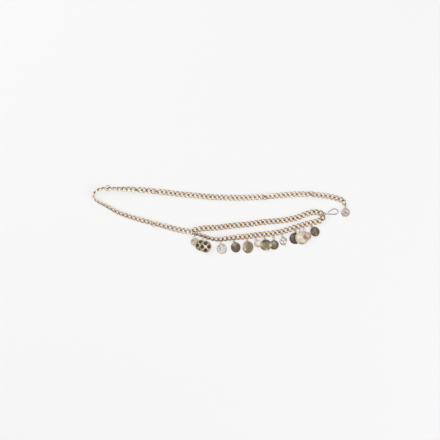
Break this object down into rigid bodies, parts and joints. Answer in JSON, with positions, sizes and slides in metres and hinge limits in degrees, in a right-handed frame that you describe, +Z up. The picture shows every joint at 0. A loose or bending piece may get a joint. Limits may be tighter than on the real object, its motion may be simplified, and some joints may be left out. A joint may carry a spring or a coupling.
{
  "type": "chain coin belt",
  "caption": "Metal curb-chain belt laid flat: a long waist chain, a front chain and a swag with hanging coins, a wire hook and an end coin.",
  "frame": {"origin": "middle of the outline of the laid belt, on the surface it lies on", "axes": "+X along the length, from the turn of the waist chain to the end coin; +Y from the coins to the back of the waist chain; +Z up from the surface"},
  "size_m": [0.4638, 0.124, 0.0117],
  "materials": {
    "pale_gold": "polished pale gold plate",
    "rose_gold": "pinkish gold plate",
    "silver": "silver-grey plate, lightly worn",
    "dark_bronze": "dark antique bronze patina",
    "antique_gold": "antique olive gold patina"
  },
  "bodies": {
    "root": {"waist_run_1": "pale_gold", "waist_run_2": "pale_gold", "waist_run_3": "pale_gold", "waist_run_4": "pale_gold", "waist_run_5": "pale_gold", "waist_run_6": "pale_gold", "waist_run_7": "pale_gold", "waist_run_8": "pale_gold", "waist_run_9": "pale_gold", "waist_run_10": "pale_gold", "front_run_1": "pale_gold", "front_run_2": "pale_gold", "front_run_3": "pale_gold", "front_run_4": "pale_gold", "swag_run_1": "pale_gold", "swag_run_2": "pale_gold", "swag_run_3": "pale_gold", "swag_run_4": "pale_gold", "swag_run_5": "pale_gold", "swag_run_6": "pale_gold", "adjusting_ring_1": "rose_gold", "adjusting_ring_2": "rose_gold", "adjusting_ring_3": "rose_gold", "adjusting_ring_4": "rose_gold", "adjusting_ring_5": "rose_gold", "adjusting_ring_6": "rose_gold", "junction_ring": "rose_gold", "hook_ring": "rose_gold"},
    "hook_body": {"hook": "silver"},
    "coin_01_body": {"coin_01": "pale_gold", "coin_01_ring": "rose_gold"},
    "coin_02_body": {"coin_02": "antique_gold", "coin_02_ring": "rose_gold"},
    "coin_03_body": {"coin_03": "antique_gold", "coin_03_ring": "rose_gold"},
    "coin_04_body": {"coin_04": "silver", "coin_04_ring": "rose_gold"},
    "coin_05_body": {"coin_05": "dark_bronze", "coin_05_ring": "rose_gold"},
    "coin_06_body": {"coin_06": "dark_bronze", "coin_06_ring": "rose_gold"},
    "coin_07_body": {"coin_07": "silver", "coin_07_ring": "rose_gold"},
    "coin_08_body": {"coin_08": "antique_gold", "coin_08_ring": "rose_gold"},
    "coin_09_body": {"coin_09": "dark_bronze", "coin_09_ring": "rose_gold"},
    "coin_10_body": {"coin_10": "silver", "coin_10_ring": "rose_gold"},
    "coin_11_body": {"coin_11": "dark_bronze", "coin_11_ring": "rose_gold"},
    "coin_12_body": {"coin_12": "pale_gold", "coin_12_ring": "rose_gold"},
    "coin_13_body": {"coin_13": "rose_gold", "coin_13_ring": "rose_gold"},
    "coin_14_body": {"coin_14": "dark_bronze", "coin_14_ring": "rose_gold"},
    "end_coin_body": {"end_coin": "rose_gold", "end_coin_ring": "rose_gold"}
  },
  "joints": [
    {"name": "hook_swing", "type": "hinge", "parent": "root", "child": "hook_body", "pos_m": [0.18635, 0.00977, 0.00348], "axis": [-0.068, -0.9977, 0], "range_deg": [0, 90]},
    {"name": "coin_01_swing", "type": "hinge", "parent": "root", "child": "coin_01_body", "pos_m": [-0.04907, -0.02767, 0.00375], "axis": [-0.9587, 0.2844, 0], "range_deg": [0, 50]},
    {"name": "coin_02_swing", "type": "hinge", "parent": "root", "child": "coin_02_body", "pos_m": [-0.03411, -0.03211, 0.00375], "axis": [-0.9587, 0.2844, 0], "range_deg": [0, 50]},
    {"name": "coin_03_swing", "type": "hinge", "parent": "root", "child": "coin_03_body", "pos_m": [-0.02705, -0.0342, 0.00375], "axis": [-0.9587, 0.2844, 0], "range_deg": [0, 50]},
    {"name": "coin_04_swing", "type": "hinge", "parent": "root", "child": "coin_04_body", "pos_m": [-0.00245, -0.0389, 0.00375], "axis": [-0.9978, -0.0667, 0], "range_deg": [0, 135]},
    {"name": "coin_05_swing", "type": "hinge", "parent": "root", "child": "coin_05_body", "pos_m": [0.02107, -0.03659, 0.00375], "axis": [-0.9931, -0.117, 0], "range_deg": [0, 135]},
    {"name": "coin_06_swing", "type": "hinge", "parent": "root", "child": "coin_06_body", "pos_m": [0.04497, -0.03495, 0.00375], "axis": [-0.9958, -0.0919, 0], "range_deg": [0, 135]},
    {"name": "coin_07_swing", "type": "hinge", "parent": "root", "child": "coin_07_body", "pos_m": [0.06048, -0.03271, 0.00375], "axis": [-0.994, -0.1095, 0], "range_deg": [0, 105]},
    {"name": "coin_08_swing", "type": "hinge", "parent": "root", "child": "coin_08_body", "pos_m": [0.07612, -0.03099, 0.00375], "axis": [-0.994, -0.1095, 0], "range_deg": [0, 105]},
    {"name": "coin_09_swing", "type": "hinge", "parent": "root", "child": "coin_09_body", "pos_m": [0.09236, -0.0292, 0.00375], "axis": [-0.994, -0.1095, 0], "range_deg": [0, 105]},
    {"name": "coin_10_swing", "type": "hinge", "parent": "root", "child": "coin_10_body", "pos_m": [0.10789, -0.02618, 0.00375], "axis": [-0.9717, -0.2362, 0], "range_deg": [0, 105]},
    {"name": "coin_11_swing", "type": "hinge", "parent": "root", "child": "coin_11_body", "pos_m": [0.13117, -0.01889, 0.00375], "axis": [-0.9582, -0.2863, 0], "range_deg": [0, 105]},
    {"name": "coin_12_swing", "type": "hinge", "parent": "root", "child": "coin_12_body", "pos_m": [0.13863, -0.01666, 0.00375], "axis": [-0.9582, -0.2863, 0], "range_deg": [0, 105]},
    {"name": "coin_13_swing", "type": "hinge", "parent": "root", "child": "coin_13_body", "pos_m": [0.14626, -0.01438, 0.00375], "axis": [-0.9582, -0.2863, 0], "range_deg": [0, 105]},
    {"name": "coin_14_swing", "type": "hinge", "parent": "root", "child": "coin_14_body", "pos_m": [0.16093, -0.01039, 0.00375], "axis": [-0.9757, -0.2189, 0], "range_deg": [0, 135]},
    {"name": "end_coin_swing", "type": "hinge", "parent": "root", "child": "end_coin_body", "pos_m": [0.22132, 0.02596, 0.00379], "axis": [-0.9739, -0.227, 0], "range_deg": [0, 105]}
  ],
  "couplings": [
    {"joint": "coin_01_swing", "follows": "coin_03_swing", "ratio": 1},
    {"joint": "coin_02_swing", "follows": "coin_03_swing", "ratio": 1},
    {"joint": "coin_07_swing", "follows": "coin_08_swing", "ratio": 1},
    {"joint": "coin_09_swing", "follows": "coin_08_swing", "ratio": 1},
    {"joint": "coin_11_swing", "follows": "coin_12_swing", "ratio": 1},
    {"joint": "coin_13_swing", "follows": "coin_12_swing", "ratio": 1}
  ]
}
